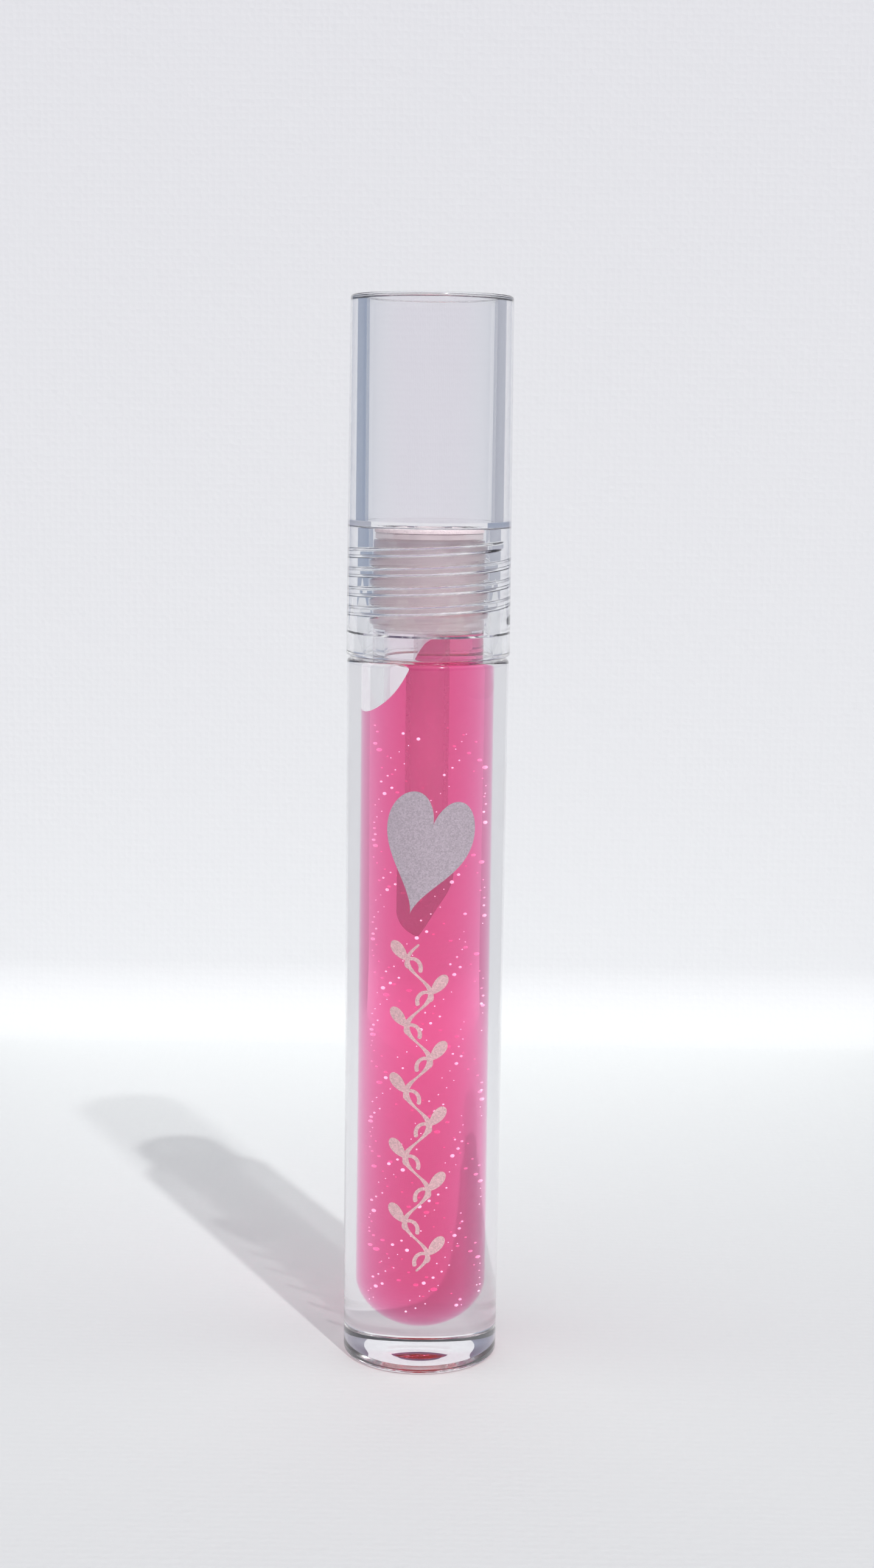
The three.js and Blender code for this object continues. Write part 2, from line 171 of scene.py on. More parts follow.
def nodes_of(name):
    """A new material, its node tree, its output, and a function that adds and wires a node. In the
    names of the values that it takes, an underscore stands for the space in a socket's name."""
    material = bpy.data.materials.new(name)
    material.use_nodes = True
    tree = material.node_tree
    tree.nodes.clear()
    output = tree.nodes.new("ShaderNodeOutputMaterial")

    def add(kind, links=(), **values):
        node = tree.nodes.new(kind)
        for key, value in values.items():
            if hasattr(node, key) and key not in node.inputs:
                setattr(node, key, value)
            else:
                node.inputs[key.replace("_", " ")].default_value = value
        for source, socket in links:
            tree.links.new(source, node.inputs[socket])
        return node

    return material, tree, output, add


def clear_plastic(name, tint, let_light=0.88):
    """Clear moulded plastic: smooth glass that bends light by 1.5, with faint handling haze in its
    roughness, a slow flow ripple in its normal, and a soft gleam on top. Lamps shine through it, and
    each wall lets the share let_light past."""
    material, tree, output, add = nodes_of(name)
    place = add("ShaderNodeTexCoord").outputs["Object"]
    haze = add("ShaderNodeTexNoise", [(place, "Vector")], Scale=900.0, Detail=3.0)
    rough = add(
        "ShaderNodeMapRange", [(haze.outputs["Fac"], "Value")],
        From_Min=0.45, From_Max=0.85, To_Min=0.0, To_Max=0.03,
    )
    ripple = add("ShaderNodeTexNoise", [(place, "Vector")], Scale=130.0, Detail=1.0)
    bump = add(
        "ShaderNodeBump", [(ripple.outputs["Fac"], "Height")], Strength=0.0006, Distance=0.001,
    )
    glass = add(
        "ShaderNodeBsdfPrincipled",
        [(rough.outputs["Result"], "Roughness"), (bump.outputs["Normal"], "Normal")],
        Base_Color=(*tint, 1), Transmission_Weight=1.0, IOR=1.5,
        Coat_Weight=0.5, Coat_Roughness=0.14,
    )
    through = add("ShaderNodeBsdfTransparent", Color=(let_light, let_light, let_light, 1))
    lamp = add("ShaderNodeLightPath")
    mix = add("ShaderNodeMixShader", [(lamp.outputs["Is Shadow Ray"], 0), (glass.outputs[0], 1)])
    tree.links.new(through.outputs[0], mix.inputs[2])
    tree.links.new(mix.outputs[0], output.inputs["Surface"])
    return material


def wetted(name):
    """The part of a clear wall that gloss or another welded piece touches: nothing to see there,
    because both sides bend light alike."""
    material, tree, output, add = nodes_of(name)
    through = add("ShaderNodeBsdfTransparent")
    tree.links.new(through.outputs[0], output.inputs["Surface"])
    return material


def thread(angle, height, depth, bottom):
    """How far a right-hand thread stands out at an angle and a height, as arrays. The nearest turn
    is w = round((height - bottom) / pitch - angle / 2 pi) + angle / 2 pi. The rib is depth high at
    its middle, meets the wall at rib_foot pitches from it by the smooth step 3 u^2 - 2 u^3 over its
    flank, and fades over a sixth of a turn at both ends."""
    share = angle / (2 * np.pi)
    turn = np.round((height - bottom) / pitch - share) + share
    away = np.abs(height - bottom - pitch * turn) / pitch
    rib = np.clip((rib_foot - away) / rib_flank, 0, 1)
    fade = np.clip(6 * np.minimum(turn, thread_turns - turn), 0, 1)
    return depth * rib * rib * (3 - 2 * rib) * fade


gloss_high = shoulder + 2.7 * mm
gloss_fall = 8.8 * mm
meniscus = 0.25 * mm


def level(x, y):
    """Height of the gloss's free surface, which meets the bore. With u the share of the way from
    its right side to its left, it falls by gloss_fall u^1.2 / (1 + exp((0.62 - u) / 0.07)), so most
    of that is past the wand, and it climbs the wall by meniscus (distance from the axis / bore)^10."""
    across = (bore_radius - x) / (2 * bore_radius)
    wall = np.hypot(x, y) / bore_radius
    step = 1 / (1 + np.exp((0.62 - across) / 0.07))
    fall = gloss_fall * np.maximum(across, 0) ** 1.2 * step
    return gloss_high - fall + meniscus * wall ** 10


def bore(height):
    """Radius of the bottle's bore, which narrows evenly from the rim down."""
    return bore_radius - bore_draft * (bottle_top - height) / bottle_top


angle = 2 * np.pi * np.arange(around) / around
end_radius = bore(base_thickness + bore_radius)
end_centre = base_thickness + end_radius
wiper_grip = wiper_bottom + 0.3 * mm

recess = 0.35 * mm
recess_radius = 5.7 * mm
foot_radius = 6.1 * mm
dimple_radius = 2.6 * mm
dimple_depth = 0.55 * mm
dimple_ball = (dimple_radius ** 2 + dimple_depth ** 2) / (2 * dimple_depth)
dimple = np.linspace(0, 1, 14) * dimple_radius
dimple_height = recess + dimple_depth - dimple_ball + np.sqrt(dimple_ball ** 2 - dimple ** 2)
outer_radius, outer_height = outline(
    (dimple_radius, recess),
    (recess_radius, recess, 0.1 * mm),
    (foot_radius, 0, 0.1 * mm),
    (base_radius, 0, 0.6 * mm),
    (shoulder_radius, shoulder, 0.45 * mm),
    (neck_radius, shoulder, 0.25 * mm),
    (neck_radius, thread_bottom - 1.2 * mm),
)
outer_radius = np.concatenate([dimple, outer_radius[1:]])
outer_height = np.concatenate([dimple_height, outer_height[1:]])
neck_height = np.linspace(thread_bottom - 1.0 * mm, bottle_top - 0.4 * mm, thread_rows)[:, None]
neck = neck_radius + thread(angle[None, :], neck_height, thread_depth, thread_bottom)
rim_radius, rim_height = outline(
    (neck_radius, bottle_top - 0.3 * mm),
    (neck_radius - 0.02 * mm, bottle_top, 0.2 * mm),
    (bore_radius, bottle_top, 0.1 * mm),
    (bore_radius, bottle_top - 0.3 * mm),
)
grip = np.linspace(bottle_top - 0.4 * mm, wiper_grip, 4)
water = level(bore_radius * np.cos(angle), bore_radius * np.sin(angle))
dry = wiper_grip + np.linspace(0, 1, 24)[1:, None] * (water - wiper_grip)
wet = water + np.linspace(0, 1, 12)[1:, None] * (end_centre - water)
dome = np.linspace(0, -np.pi / 2, 40)[1:]


def whole(rows):
    """One value a row, spread over all columns."""
    return np.repeat(np.asarray(rows, float)[:, None], around, axis=1)


bottle_radius = np.vstack([
    whole(outer_radius), neck, whole(rim_radius),
    whole(bore(grip)), bore(dry), bore(wet), whole(end_radius * np.cos(dome)),
])
bottle_height = np.vstack([
    whole(outer_height), np.repeat(neck_height, around, 1), whole(rim_height),
    whole(grip), dry, wet, whole(end_centre + end_radius * np.sin(dome)),
])
bottle_radius[-1] = 0
# The bore is wetted where the wiper grips it and below the gloss's surface.
glass_rows = len(outer_radius) + len(neck) + len(rim_radius)
row_slot = np.zeros(len(bottle_radius) - 1, int)
row_slot[glass_rows - 1:glass_rows + len(grip) - 1] = 1
row_slot[glass_rows + len(grip) + len(dry) - 1:] = 1
bottle_plastic = clear_plastic("clear_bottle_plastic", (0.975, 0.968, 0.982), let_light=0.54)
wet_wall = wetted("wetted_bore")
piece(
    "bottle_vial", [faces_of(turned(bottle_radius, bottle_height))],
    "filled_bottle", replaces=["bottle"],
    materials=[bottle_plastic, wet_wall], slots=np.repeat(row_slot, around),
)

# ---------------------------------------------------------------- gloss
# A thick, clear pink gel. It clings to the right-hand side and to the wand, so its surface slopes
# and leaves an air pocket at the upper left. Small air bubbles from filling stay hanging in it.

skin_gap = 0.02 * mm    # the gloss ends this far under the edge of the wetted bore
gloss_side = np.linspace(0, 1, 14)[:, None]
gloss_dome = np.linspace(-np.pi / 2, 0, 40)[:-1]
wall_line = water - skin_gap
side_height = end_centre + gloss_side * (wall_line - end_centre)
side_radius = bore(side_height) - contact
inward = np.linspace(1, 0, 40)[1:, None]
top_radius = inward * side_radius[-1]
top_height = level(top_radius * np.cos(angle), top_radius * np.sin(angle)) - skin_gap
gloss_end = end_radius - contact
gloss_radius = np.vstack([whole(gloss_end * np.cos(gloss_dome)), side_radius, top_radius])
gloss_height = np.vstack([
    whole(end_centre + gloss_end * np.sin(gloss_dome)), side_height, top_height,
])
gloss_radius[0] = 0

# Where the gel touches the bottle only its colour counts; its free surface bends light by 1.47.
gloss_gel, tree, output, add = nodes_of("pink_gloss_gel")
free = add("ShaderNodeAttribute", attribute_name="free_surface")
gel_place = add("ShaderNodeTexCoord").outputs["Object"]
gel_wave = add("ShaderNodeTexNoise", [(gel_place, "Vector")], Scale=260.0, Detail=1.0)
gel_bump = add(
    "ShaderNodeBump", [(gel_wave.outputs["Fac"], "Height")], Strength=0.15, Distance=0.001,
)
gel_skin = add(
    "ShaderNodeBsdfPrincipled", [(gel_bump.outputs["Normal"], "Normal")],
    Base_Color=(1, 0.9, 0.95, 1), Roughness=0.04, IOR=1.47, Transmission_Weight=1.0,
)
gel_inside = add("ShaderNodeBsdfTransparent")
gel_mix = add("ShaderNodeMixShader", [
    (free.outputs["Fac"], 0), (gel_inside.outputs[0], 1), (gel_skin.outputs[0], 2),
])
gel_depth = add("ShaderNodeVolumeAbsorption", Color=(0.957, 0.10, 0.535, 1), Density=272.0)
gel_shade = add("ShaderNodeVolumeAbsorption", Color=(0.1, 0.1, 0.1, 1), Density=150.0)
gel_lamp = add("ShaderNodeLightPath")
gel_volume = add("ShaderNodeMixShader", [
    (gel_lamp.outputs["Is Shadow Ray"], 0), (gel_depth.outputs[0], 1), (gel_shade.outputs[0], 2),
])
tree.links.new(gel_mix.outputs[0], output.inputs["Surface"])
tree.links.new(gel_volume.outputs[0], output.inputs["Volume"])
gloss = piece(
    "gloss_gel", [faces_of(turned(gloss_radius, gloss_height))], "filled_bottle",
    replaces=["gloss_fill"], materials=[gloss_gel],
)
spots = np.empty(3 * len(gloss.data.vertices))
gloss.data.vertices.foreach_get("co", spots)
spots = spots.reshape(-1, 3)
on_top = spots[:, 2] > level(spots[:, 0], spots[:, 1]) - 1.5 * skin_gap
on_top &= np.hypot(spots[:, 0], spots[:, 1]) < bore(spots[:, 2]) - 2 * contact
free_surface = gloss.data.attributes.new("free_surface", "FLOAT", "POINT")
free_surface.data.foreach_set("value", on_top.astype(np.float32))

# Air bubbles: beads of 0.06 to 0.21 mm radius, few of them large, near the wall. Each lies a golden
# angle further round than the last, and steps of uneven shares spread it in, up and in size.
bubble_count = 400
golden_angle = 2.39996
bubble_low = 6 * mm
bubble_span = 66 * mm
number = np.arange(bubble_count)
bubble_turn = number * golden_angle
bubble_out = 3.1 * mm + 1.35 * mm * ((number * 0.618) % 1)
bubble_places = np.stack([
    bubble_out * np.cos(bubble_turn),
    bubble_out * np.sin(bubble_turn),
    bubble_low + bubble_span * ((number * 0.7548) % 1) ** 1.1,
], axis=-1)
bubble_radii = (0.06 + 0.15 * ((number * 0.5698) % 1) ** 3) * mm
bead_angle = np.linspace(-np.pi / 2, np.pi / 2, 7)
bead_radius = np.cos(bead_angle)
bead_radius[[0, -1]] = 0
bead_points, bead_faces = faces_of(turned(bead_radius, np.sin(bead_angle), 10))
beads = [
    (bead_points * radius + place, bead_faces)
    for place, radius in zip(bubble_places, bubble_radii)
]
# A bubble is a white bead where it faces the eye, a painted highlight, with an emission that is a
# painted glow standing in for the light it catches, and clear at its edge.
bubble, tree, output, add = nodes_of("air_bubble")
edge = add("ShaderNodeLayerWeight", Blend=0.35)
bead_clear = add("ShaderNodeBsdfTransparent")
bead_painted_highlight_glow = add(
    "ShaderNodeBsdfPrincipled", Base_Color=(1, 0.85, 0.92, 1), Roughness=0.15,
    Emission_Color=(1, 0.80, 0.90, 1), Emission_Strength=0.7,
)
bead_mix = add("ShaderNodeMixShader", [
    (edge.outputs["Facing"], 0), (bead_painted_highlight_glow.outputs[0], 1), (bead_clear.outputs[0], 2),
])
tree.links.new(bead_mix.outputs[0], output.inputs["Surface"])
piece("gloss_bubbles", beads, "filled_bottle", materials=[bubble])

# ---------------------------------------------------------------- wiper
# A soft plug of milky polyethylene, pushed into the neck until its flange sits on the rim. Its
# conical lip scrapes the wand as it is drawn out.

wiper_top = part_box("wiper_plug")[1][2]
wiper_bore = 3.94 * mm
sleeve_radius = bore_radius - 0.1 * mm
flange_bottom = bottle_top + 0.1 * mm
flange_radius = neck_radius - 0.2 * mm
lip_radius = 2.5 * mm
lip_thickness = 0.5 * mm
funnel_depth = 2.4 * mm
wiper_skin = outline(
    (lip_radius, wiper_bottom),
    (sleeve_radius, wiper_bottom, 0.1 * mm),
    (sleeve_radius, wiper_grip),
    (bore_radius - contact, wiper_grip + 0.1 * mm),
    (bore_radius - contact, flange_bottom),
    (flange_radius, flange_bottom, 0.1 * mm),
    (flange_radius, wiper_top, 0.1 * mm),
    (wiper_bore, wiper_top, 0.1 * mm),
    (wiper_bore, wiper_bottom + funnel_depth),
    (lip_radius, wiper_bottom + lip_thickness),
)


def colour_mix(tree, share, first, second):
    """Mixes two colours, given as triples or sockets, by a socket's share, in a socket."""
    mix = tree.nodes.new("ShaderNodeMix")
    mix.data_type = "RGBA"
    tree.links.new(share, mix.inputs["Factor"])
    for name, colour in (("A", first), ("B", second)):
        socket = next(s for s in mix.inputs if s.name == name and s.type == "RGBA")
        if isinstance(colour, tuple):
            socket.default_value = (*colour, 1)
        else:
            tree.links.new(colour, socket)
    return next(s for s in mix.outputs if s.type == "RGBA")


def moulded(name, colour, rough, mottle=0.06, scale=400.0, bump_depth=0.05, sheen=0.0, alpha=1.0):
    """An opaque or milky moulded piece: its colour drifts by mottle with a soft noise, and a noise
    four times finer varies its roughness and raises a faint skin texture. An alpha under 1 lets
    what is behind show through."""
    material, tree, output, add = nodes_of(name)
    place = add("ShaderNodeTexCoord").outputs["Object"]
    soft = add("ShaderNodeTexNoise", [(place, "Vector")], Scale=scale, Detail=4.0)
    dark = tuple(c * (1 - mottle) for c in colour)
    light = tuple(min(1, c * (1 + mottle)) for c in colour)
    tone = colour_mix(tree, soft.outputs["Fac"], dark, light)
    fine = add("ShaderNodeTexNoise", [(place, "Vector")], Scale=scale * 4, Detail=3.0)
    wear = add(
        "ShaderNodeMapRange", [(fine.outputs["Fac"], "Value")],
        To_Min=rough * 0.75, To_Max=min(1.0, rough * 1.3),
    )
    bump = add(
        "ShaderNodeBump", [(fine.outputs["Fac"], "Height")], Strength=bump_depth, Distance=0.0003,
    )
    shader = add("ShaderNodeBsdfPrincipled", [
        (tone, "Base Color"),
        (wear.outputs["Result"], "Roughness"),
        (bump.outputs["Normal"], "Normal"),
    ], Sheen_Weight=sheen, Alpha=alpha)
    tree.links.new(shader.outputs[0], output.inputs["Surface"])
    return material


milky = moulded("milky_polyethylene", (0.98, 0.85, 0.84), 0.4, mottle=0.03, alpha=0.42)
piece(
    "wiper", [faces_of(turned(*wiper_skin), ring=True)], "filled_bottle",
    replaces=["wiper_plug"], materials=[milky],
)

# ---------------------------------------------------------------- prints
# Screen-printed on the bottle's front in ink with fine glitter: a tilted silver heart, and below it
# a rose-pink vine that climbs to it. The ink is a few hundredths of a millimetre thick.

ink_gap = 0.03 * mm
ink_depth = 0.05 * mm
heart_low, heart_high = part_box("heart_print")
vine_low, vine_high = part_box("vine_print")


def on_wall(across, up, proud):
    """Puts flat artwork on the bottle's tapered front: the distance across becomes an angle about
    the axis, x = R sin(across / R), y = -R cos(across / R), with R the wall's radius there."""
    radius = base_radius + (shoulder_radius - base_radius) * up / shoulder + proud
    turn = across / shoulder_radius
    return np.stack([radius * np.sin(turn), -radius * np.cos(turn), up], axis=-1)


def ink_patch(edge_x, edge_z, middle_x, middle_z):
    """A thin closed patch inside an outline that can be seen whole from its middle: rows run from
    the back's middle out to the edge, over it and back to the front's middle."""
    out = np.concatenate([np.linspace(0, 1, 9), np.linspace(1, 0, 9)])[:, None]
    proud = np.concatenate([np.full(9, ink_gap), np.full(9, ink_gap + ink_depth)])[:, None]
    across = middle_x + out * (edge_x - middle_x)[None, :]
    up = middle_z + out * (edge_z - middle_z)[None, :]
    return faces_of(on_wall(across, up, np.broadcast_to(proud, across.shape)))


def ink_stroke(path_x, path_z, half_width):
    """A thin closed stroke along a path: each row is a flat section, half_width to each side of the
    path at right angles to it, and both ends close in a point."""
    along_x, along_z = np.gradient(path_x), np.gradient(path_z)
    length = np.hypot(along_x, along_z)
    side_x, side_z = along_z / length, -along_x / length
    side = np.array([-1, -1, 1, 1])[None, :] * half_width[:, None]
    proud = np.broadcast_to(ink_gap + ink_depth * np.array([0, 1, 1, 0]), side.shape)
    across = path_x[:, None] + side * side_x[:, None]
    up = path_z[:, None] + side * side_z[:, None]
    points = on_wall(across, up, proud)
    points[0] = points[0].mean(axis=0)
    points[-1] = points[-1].mean(axis=0)
    return faces_of(points)


def glitter_ink(name, colour, sparkle, metal):
    """Ink full of fine flakes: every cell of a Voronoi pattern, a tenth of a millimetre across, has
    its own tone and tilts its own way, so that some flash and most don't."""
    material, tree, output, add = nodes_of(name)
    place = add("ShaderNodeTexCoord").outputs["Object"]
    flake = add("ShaderNodeTexVoronoi", [(place, "Vector")], Scale=7500.0)
    split = add("ShaderNodeSeparateColor", [(flake.outputs["Color"], 0)])
    tone = add("ShaderNodeMapRange", [(split.outputs[0], "Value")], To_Min=0.82, To_Max=1.12)
    scaled = add("ShaderNodeVectorMath", [(tone.outputs["Result"], "Scale")], operation="SCALE")
    scaled.inputs[0].default_value = colour
    patchy = add("ShaderNodeTexNoise", [(place, "Vector")], Scale=900.0, Detail=2.0)
    bump = add("ShaderNodeBump", [(split.outputs[1], "Height")], Strength=0.7, Distance=0.0002)
    dull = add("ShaderNodeMapRange", [(patchy.outputs["Fac"], "Value")], To_Min=0.3, To_Max=0.65)
    shader = add("ShaderNodeBsdfPrincipled", [
        (scaled.outputs[0], "Base Color"),
        (dull.outputs["Result"], "Roughness"),
        (bump.outputs["Normal"], "Normal"),
    ], Metallic=metal, Coat_Weight=sparkle)
    tree.links.new(shader.outputs[0], output.inputs["Surface"])
    return material


# The heart: x = sin^3 t, z = 13 cos t - 5 cos 2t - 2 cos 3t - cos 4t + 2.5, each scaled to half the
# heart's width or height, and then tilted.
heart_half_width = 5.0 * mm
heart_half_height = 6.6 * mm
t = 2 * np.pi * np.arange(160) / 160
heart_curve = 13 * np.cos(t) - 5 * np.cos(2 * t) - 2 * np.cos(3 * t) - np.cos(4 * t) + 2.5
heart_x = heart_half_width * np.sin(t) ** 3
heart_z = heart_half_height * heart_curve / 14.5
tilt = math.radians(-14)
heart_middle = (heart_low[2] + heart_high[2]) / 2
heart_across = heart_x * math.cos(tilt) - heart_z * math.sin(tilt)
heart_up = heart_middle + heart_x * math.sin(tilt) + heart_z * math.cos(tilt)
silver_ink = glitter_ink("silver_glitter_ink", (0.52, 0.45, 0.50), 0.2, 0.25)
piece(
    "heart_motif", [ink_patch(heart_across[::-1], heart_up[::-1], 0.0, heart_middle)],
    "filled_bottle", replaces=["heart_print"], materials=[silver_ink],
)

# The vine: a stem that swings ten times from side to side as a sine, thick and thin in turn, with a
# pointed leaf on the outside of every bend and a shrinking spiral curl facing it.
vine_offset = -0.5 * mm
vine_sway = 1.3 * mm
vine_bends = 10
vine_length = vine_high[2] - vine_low[2]
s = np.linspace(0, 1, 400)
stem_x = vine_offset + vine_sway * np.sin(np.pi * vine_bends * s)
stem_z = vine_low[2] + vine_length * s
thick_thin = 0.5 - 0.5 * np.cos(2 * np.pi * vine_bends * s)
strokes = [ink_stroke(stem_x, stem_z, (0.13 + 0.22 * thick_thin * np.sin(np.pi * s) ** 0.3) * mm)]
leaf_turn = np.linspace(0, 2 * np.pi, 48, endpoint=False)
leaf_along = 1.35 * mm * (1 - np.cos(leaf_turn))
leaf_across = 0.8 * mm * np.sin(leaf_turn) * np.sin(leaf_turn / 2) ** 0.6
lean = 0.85
curl = np.linspace(0, 1, 60)
curl_size = 1.25 * mm
curl_start = -0.6
curl_radius = curl_size * (1 - curl) ** 0.8
curl_turn = curl_start + 5.2 * curl
for bend in range(vine_bends):
    share = (bend + 0.5) / vine_bends
    side = 1 if bend % 2 == 0 else -1
    root_x = vine_offset + side * vine_sway
    root_z = vine_low[2] + vine_length * share
    leaf_x = root_x + side * (leaf_along * math.cos(lean) - leaf_across * math.sin(lean))
    leaf_z = root_z + leaf_along * math.sin(lean) + leaf_across * math.cos(lean)
    order = slice(None, None, -1) if side > 0 else slice(None)
    middle = (float(leaf_x.mean()), float(leaf_z.mean()))
    strokes.append(ink_patch(leaf_x[order], leaf_z[order], *middle))
    curl_in = 1.35 * mm + curl_radius * np.cos(curl_turn) - curl_size * math.cos(curl_start)
    curl_x = root_x - side * curl_in
    curl_z = root_z - 0.6 * mm + curl_radius * np.sin(curl_turn)
    strokes.append(ink_stroke(curl_x, curl_z, (0.24 - 0.14 * curl) * mm))
rose_ink = glitter_ink("rose_glitter_ink", (0.80, 0.50, 0.52), 0.3, 0.2)
piece(
    "vine_motif", strokes, "filled_bottle",
    replaces=["vine_print"], materials=[rose_ink],
)

# ---------------------------------------------------------------- inner cap
# A clear threaded insert, welded into the cap shell. Its thin flat top shows through the shell, and
# a boss under it holds the wand. A soft foam washer lies between its ceiling and the wiper.

inner_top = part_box("inner_cap")[1][2]
shell_bore = 7.2 * mm
ceiling = inner_top - 0.6 * mm
inner_bore = neck_radius + thread_depth + 0.15 * mm
plug_radius = wiper_bore - 0.15 * mm
stem_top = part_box("wand_stem")[1][2]
socket_radius = 1.66 * mm
socket_top = stem_top + 0.1 * mm
boss_radius = 2.9 * mm
boss_end = ceiling - 5.6 * mm

# One grid runs from the skirt's foot up the outside to a pole on top. The other runs from a pole in
# the wand's socket, round the boss and down the skirt, back to the row that the first starts from.
inner_out = outline(
    (inner_bore + 0.2 * mm, inner_cap_bottom),
    (shell_bore - contact, inner_cap_bottom),
    (shell_bore - contact, inner_top),
    (0, inner_top),
)
inner_in = outline(
    (0, socket_top),
    (socket_radius, socket_top),
    (socket_radius, boss_end),
    (boss_radius, boss_end, 0.2 * mm),
    (boss_radius, ceiling - 2.6 * mm),
    (plug_radius, ceiling - 2.0 * mm, 0.2 * mm),
    (plug_radius, ceiling, 0.2 * mm),
    (inner_bore, ceiling, 0.2 * mm),
    (inner_bore, ceiling - 0.5 * mm),
)
skirt_height = np.linspace(ceiling - 0.7 * mm, inner_cap_bottom + 0.2 * mm, thread_rows)[:, None]
skirt = inner_bore - thread(angle[None, :], skirt_height, thread_depth, thread_bottom + pitch / 2)
inside_radius = np.vstack([whole(inner_in[0]), skirt, whole(inner_out[0][:1])])
inside_height = np.vstack([
    whole(inner_in[1]), np.repeat(skirt_height, around, 1), whole(inner_out[1][:1]),
])
inner_outside = faces_of(turned(*inner_out))
inner_inside = faces_of(turned(inside_radius, inside_height))
# Its outer wall, from foot to top, is welded to the shell.
inner_slots = np.zeros((len(inner_out[0]) - 1, around), int)
inner_slots[1] = 1
inner_slots = np.concatenate([inner_slots.ravel(), np.zeros(len(inner_inside[1]), int)])
cap_plastic = clear_plastic("clear_cap_plastic", (0.975, 0.977, 0.985))
weld = wetted("welded_face")
piece(
    "inner_cap_clear", [inner_outside, inner_inside], "cap_and_wand",
    replaces=["inner_cap"], materials=[cap_plastic, weld], slots=inner_slots,
)
foam = moulded(
    "washer_foam", (0.93, 0.80, 0.80), 0.85, mottle=0.08, scale=1500.0, bump_depth=0.4,
)
frame["nodes"]["seal_washer"].data.materials.clear()
frame["nodes"]["seal_washer"].data.materials.append(foam)

# ---------------------------------------------------------------- cap shell
# A clear sleeve with a thin closed top, polished inside and out. Its upper two thirds are empty, so
# the walls show as two bluish stripes; below that the inner cap fills it.

cap_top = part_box("cap_shell")[1][2]
cap_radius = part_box("cap_shell")[1][0]
hollow_radius = shell_bore - 0.12 * mm
hollow_top = cap_top - 0.4 * mm
ledge = inner_top + contact
shell_out = outline(
    (shell_bore, cap_bottom),
    (cap_radius, cap_bottom, 0.3 * mm),
    (cap_radius - 0.2 * mm, cap_top, 0.35 * mm),
    (0, cap_top),
)
shell_in = outline(
    (0, hollow_top),
    (hollow_radius, hollow_top, 0.15 * mm),
    (hollow_radius, ledge),
    (shell_bore, ledge),
    (shell_bore, inner_cap_bottom),
    (shell_bore, cap_bottom),
)
shell_outside = faces_of(turned(*shell_out))
shell_inside = faces_of(turned(*shell_in))
# Its bore is welded to the inner cap, between the ledge and the inner cap's foot.
shell_slots = np.zeros((len(shell_in[0]) - 1, around), int)
shell_slots[-2] = 1
shell_slots = np.concatenate([np.zeros(len(shell_outside[1]), int), shell_slots.ravel()])
piece(
    "cap_sleeve", [shell_outside, shell_inside], "cap_and_wand",
    replaces=["cap_shell"], materials=[cap_plastic, weld], slots=shell_slots,
)

# ---------------------------------------------------------------- wand
# A pale plastic rod pressed into the inner cap. Its end holds a slanted moulded tip under a coat of
# short nylon fibres, always wet with gloss.

stem_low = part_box("wand_stem")[0][2]
tip_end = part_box("applicator_flock")[0][2]
flock_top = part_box("applicator_flock")[1][2]
stem_radius = 1.6 * mm
stem_skin = outline(
    (0, stem_low),
    (stem_radius, stem_low, 0.15 * mm),
    (stem_radius, stem_top, 0.2 * mm),
    (0, stem_top),
)
stem_plastic = moulded("wand_plastic", (0.97, 0.90, 0.93), 0.25, mottle=0.02, alpha=0.28)
piece(
    "wand_rod", [faces_of(turned(*stem_skin, columns=96))], "cap_and_wand",
    replaces=["wand_stem", "applicator_core"], materials=[stem_plastic],
)

# The tip: a rod with an oval nose, whose right side is pressed in to a slanting plane. A point that
# is x from the axis moves to p - b log(1 + exp((p - x) / b)), with p the plane's x at its height and
# b the blend, so it stays where it is left of the plane and lies on the plane if it was past it.
tip_radius = 2.1 * mm
slant = math.radians(24)
slant_height = tip_end + 2.875 * mm
slant_blend = 0.25 * mm
nose = np.linspace(0, np.pi / 2, 30)
tip_rows_radius = np.concatenate([
    tip_radius * np.sin(nose), np.full(40, tip_radius), [tip_radius - 0.3 * mm, 1.2 * mm, 0],
])
tip_rows_height = np.concatenate([
    tip_end + 1.4 * tip_radius * (1 - np.cos(nose)),
    np.linspace(tip_end + 1.5 * tip_radius, flock_top - 0.3 * mm, 40),
    [flock_top, flock_top, flock_top],
])
tip_points = turned(tip_rows_radius, tip_rows_height, 120)
slant_x = 0.35 * tip_radius + (tip_points[..., 2] - slant_height) * math.tan(slant)
over = (tip_points[..., 0] - slant_x) / slant_blend
tip_points[..., 0] = slant_x - slant_blend * np.logaddexp(0, -over)
flock = moulded(
    "flock_fibres", (1.0, 0.68, 0.80), 0.55, mottle=0.12, scale=2600.0, bump_depth=0.9,
    sheen=0.4, alpha=0.35,
)
piece(
    "wand_flock", [faces_of(tip_points)], "cap_and_wand",
    replaces=["applicator_flock"], materials=[flock], sharp=60,
)

# ---------------------------------------------------------------- floor, backdrop, light, camera
# A white paper table, and a narrow upright sheet of the same paper behind the tube, with a cove at
# its foot. A small sun stands high at the front right. The rest is a soft sky: white overhead in
# front, dim overhead behind, bluish at the sides and lilac low in front.

sheet_y = 148 * mm
sheet_half = 88 * mm
sheet_top = 190 * mm
cove = 12 * mm
sheet_sink = 0.05 * mm
table_half = 0.9
bend = np.linspace(0, np.pi / 2, 17)
sheet_points = np.stack(np.broadcast_arrays(
    np.array([[-sheet_half, sheet_half]]),
    np.concatenate([sheet_y - cove + cove * np.sin(bend), [sheet_y]])[:, None],
    np.concatenate([cove * (1 - np.cos(bend)) - sheet_sink, [sheet_top]])[:, None],
), axis=-1)
table_points = table_half * np.array([[[-1, -1, 0], [1, -1, 0]], [[-1, 1, 0], [1, 1, 0]]])


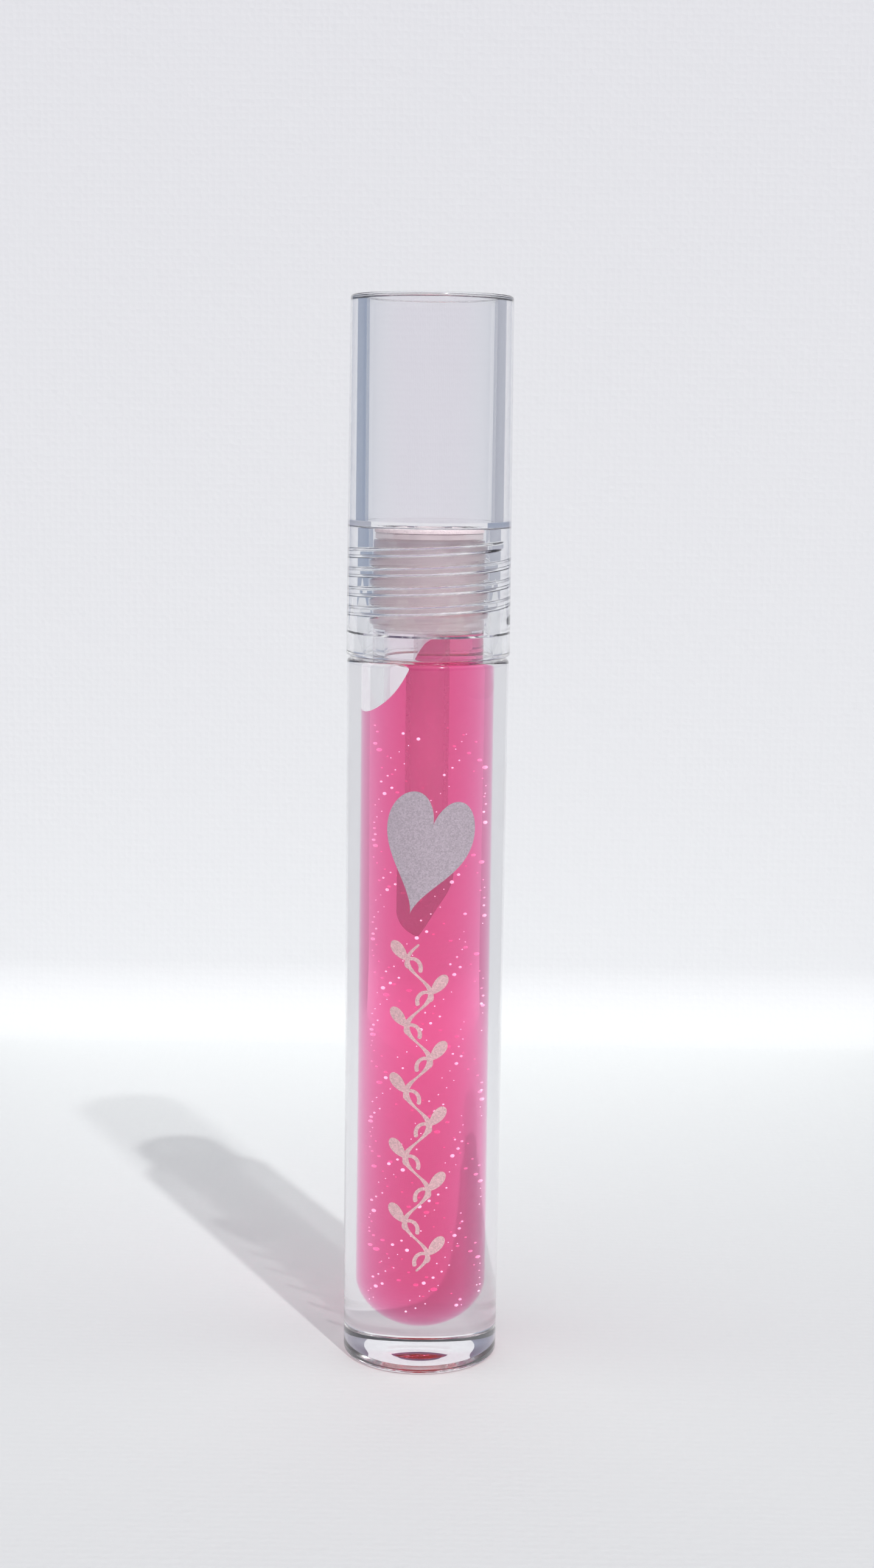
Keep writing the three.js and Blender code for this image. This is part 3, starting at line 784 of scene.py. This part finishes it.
def stage_sheet(name, points, material):
    """A flat or bent sheet from a grid of points two columns wide, which is no part of the tube."""
    mesh = bpy.data.meshes.new(name)
    faces = [(2 * i, 2 * i + 1, 2 * i + 3, 2 * i + 2) for i in range(len(points) - 1)]
    mesh.from_pydata(points.reshape(-1, 3).tolist(), [], faces)
    mesh.polygons.foreach_set("use_smooth", np.ones(len(faces), bool))
    mesh.materials.append(material)
    sheet = bpy.data.objects.new(name, mesh)
    bpy.context.scene.collection.objects.link(sheet)


paper, tree, output, add = nodes_of("white_paper")
paper_place = add("ShaderNodeTexCoord").outputs["Object"]
grain = add("ShaderNodeTexNoise", [(paper_place, "Vector")], Scale=700.0, Detail=3.0)
weave = add("ShaderNodeTexVoronoi", [(paper_place, "Vector")], Scale=900.0, Randomness=0.35)
weave_bump = add(
    "ShaderNodeBump", [(weave.outputs["Distance"], "Height")], Strength=0.12, Distance=0.0003,
)
paper_bump = add(
    "ShaderNodeBump", [(grain.outputs["Fac"], "Height"), (weave_bump.outputs["Normal"], "Normal")],
    Strength=0.05, Distance=0.001,
)
# Painted shading: the paper's tone grows slightly darker from the front of the table towards the
# sheet, standing in for how the light falls there, not a change in the paper.
paper_split = add("ShaderNodeSeparateXYZ", [(paper_place, 0)])
painted_shading_share = add(
    "ShaderNodeMapRange", [(paper_split.outputs["Y"], "Value")], From_Min=-0.15, From_Max=0.12,
)
near_paper_painted_shading = (0.80, 0.82, 0.812)
far_paper_painted_shading = (0.79, 0.812, 0.808)
paper_tone_painted_shading = colour_mix(tree, painted_shading_share.outputs["Result"], near_paper_painted_shading, far_paper_painted_shading)
paper_shader = add(
    "ShaderNodeBsdfPrincipled",
    [(paper_tone_painted_shading, "Base Color"), (paper_bump.outputs["Normal"], "Normal")], Roughness=0.8,
)
tree.links.new(paper_shader.outputs[0], output.inputs["Surface"])
stage_sheet("table", table_points, paper)
stage_sheet("backdrop", sheet_points, paper)

world = bpy.data.worlds.new("studio")
world.use_nodes = True
bpy.context.scene.world = world
sky = world.node_tree
sky.nodes.clear()
sky_out = sky.nodes.new("ShaderNodeOutputWorld")
sky_light = sky.nodes.new("ShaderNodeBackground")
sky_place = sky.nodes.new("ShaderNodeTexCoord")
sky_split = sky.nodes.new("ShaderNodeSeparateXYZ")
sky.links.new(sky_place.outputs["Generated"], sky_split.inputs[0])


def sky_blend(axis, low, high, first, second):
    """Blends two sky colours or sockets as the direction's share along an axis goes from low to
    high, by a smooth step."""
    share = sky.nodes.new("ShaderNodeMapRange")
    share.interpolation_type = "SMOOTHSTEP"
    share.inputs["From Min"].default_value = low
    share.inputs["From Max"].default_value = high
    sky.links.new(sky_split.outputs[axis], share.inputs["Value"])
    return colour_mix(sky, share.outputs["Result"], first, second)


sides = sky_blend("X", -0.7, 0.5, (0.31, 0.355, 0.455), (0.43, 0.445, 0.51))
room = sky_blend("Y", -0.75, 0.1, (0.40, 0.30, 0.44), sides)
above = sky_blend("Y", -0.05, 0.3, (0.95, 0.955, 0.96), (0.09, 0.06, 0.12))
overhead = sky_blend("Z", 0.1, 0.6, room, above)
sky.links.new(overhead, sky_light.inputs["Color"])
sky_light.inputs["Strength"].default_value = 1.0
sky.links.new(sky_light.outputs[0], sky_out.inputs["Surface"])

key_light = bpy.data.lights.new("key", "SUN")
key_light.energy = 1.45
key_light.angle = math.radians(1.2)
key = bpy.data.objects.new("key", key_light)
shines_along = Vector((-45, 96, -118.4))
key.rotation_euler = shines_along.to_track_quat("-Z", "Y").to_euler()
bpy.context.scene.collection.objects.link(key)

# Light crosses many clear walls on its way through the cap, the neck and the gloss.
bpy.context.scene.view_settings.view_transform = "Standard"
cycles = bpy.context.scene.cycles
cycles.max_bounces = 32
cycles.transmission_bounces = 28
cycles.glossy_bounces = 12
cycles.transparent_max_bounces = 64

frame_height = 36       # of the camera's sensor; the picture is taller than it is wide
looks_down = math.radians(8.44)
leans = math.radians(0.75)
camera_data = bpy.data.cameras.new("camera")
camera_data.sensor_width = frame_height
camera_data.lens = frame_height * 4000 / 2576
camera_data.clip_start = 0.01
camera = bpy.data.objects.new("camera", camera_data)
camera.matrix_world = (
    Matrix.Translation((1.17 * mm, -266.9 * mm, 104.85 * mm))
    @ Matrix.Rotation(math.pi / 2 - looks_down, 4, "X")
    @ Matrix.Rotation(leans, 4, "Z")
)
bpy.context.scene.collection.objects.link(camera)
bpy.context.scene.camera = camera
